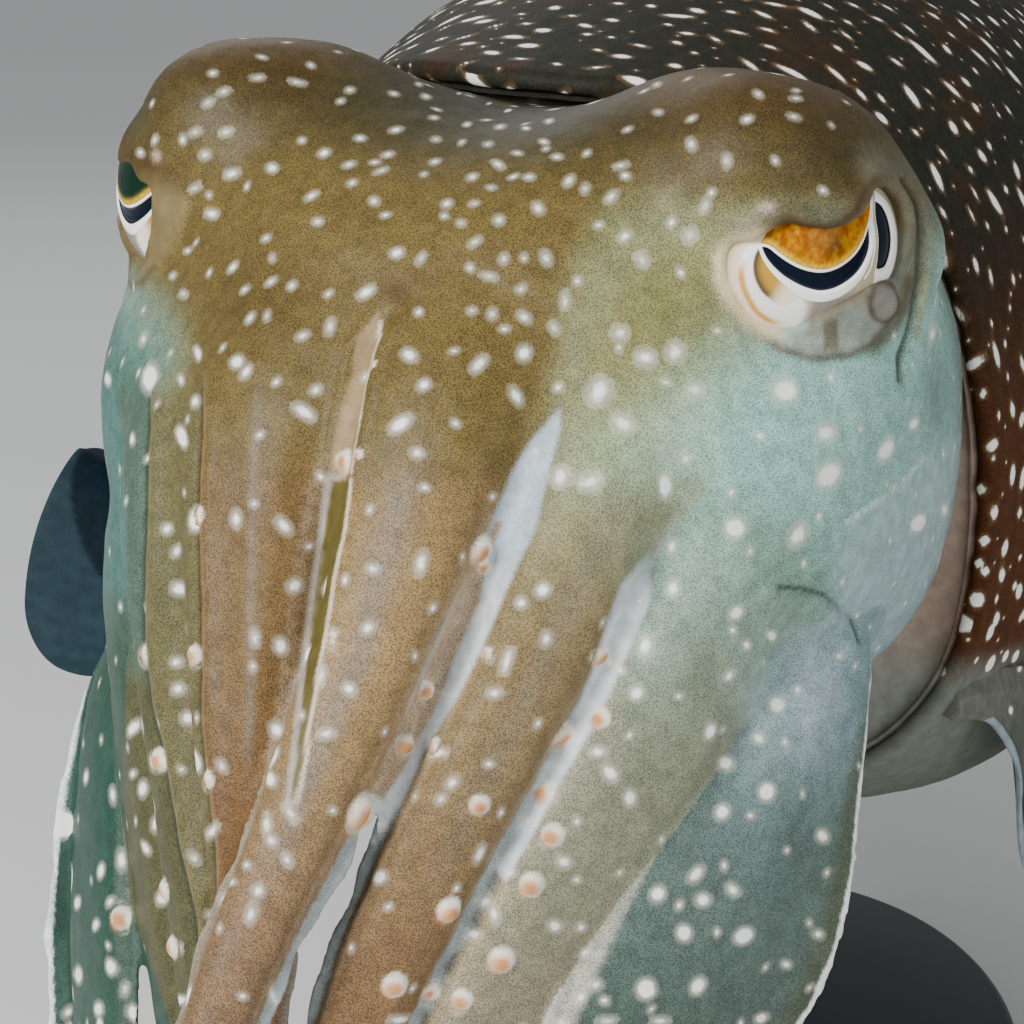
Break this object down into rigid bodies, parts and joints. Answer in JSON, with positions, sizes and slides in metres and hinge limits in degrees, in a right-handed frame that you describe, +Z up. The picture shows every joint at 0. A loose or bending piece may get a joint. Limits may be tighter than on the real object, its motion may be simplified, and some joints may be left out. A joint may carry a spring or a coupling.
{
  "type": "broadclub cuttlefish display model",
  "caption": "Life-size cuttlefish model, white-spotted brown to blue-grey skin, arms hanging, wavy fins, held level on an oval stand with rods.",
  "frame": {"origin": "centre of the stand base's underside, on the floor", "axes": "the animal faces -Y, its left side is +X, +Z is up"},
  "size_m": [0.2227, 0.414, 0.2236],
  "materials": {
    "skin_dark": "moist satin skin, very dark reddish brown with small white spots",
    "skin_brown": "moist satin skin, olive brown with a fine dark stipple and cream spots",
    "skin_pale": "moist satin skin, pale blue grey with a fine stipple and soft white spots",
    "fin_skin": "thin translucent blue-grey membrane with a pale edge",
    "eye": "clear glossy cornea over a gold iris and a black W-shaped pupil",
    "stand_steel": "satin black powder coat"
  },
  "bodies": {
    "root": {"arm_left_1_base": "skin_brown", "arm_left_1_tip": "skin_brown", "arm_left_2_base": "skin_brown", "arm_left_2_tip": "skin_brown", "arm_left_3_base": "skin_brown", "arm_left_3_tip": "skin_brown", "arm_left_4_base": "skin_pale", "arm_left_4_tip": "skin_pale", "arm_right_1_base": "skin_brown", "arm_right_1_tip": "skin_brown", "arm_right_2_base": "skin_brown", "arm_right_2_tip": "skin_brown", "arm_right_3_base": "skin_brown", "arm_right_3_tip": "skin_brown", "arm_right_4_base": "skin_pale", "arm_right_4_tip": "skin_pale", "eye_left": "eye", "eye_right": "eye", "fin_left": "fin_skin", "fin_right": "fin_skin", "funnel": "skin_pale", "head": "skin_brown", "mantle": "skin_dark", "stand_base": "stand_steel", "stand_rod_front": "stand_steel", "stand_rod_rear": "stand_steel", "web_dorsal": "skin_pale", "web_left_1_2": "skin_pale", "web_left_2_3": "skin_pale", "web_left_3_4": "skin_pale", "web_right_1_2": "skin_pale", "web_right_2_3": "skin_pale", "web_right_3_4": "skin_pale"}
  },
  "joints": []
}
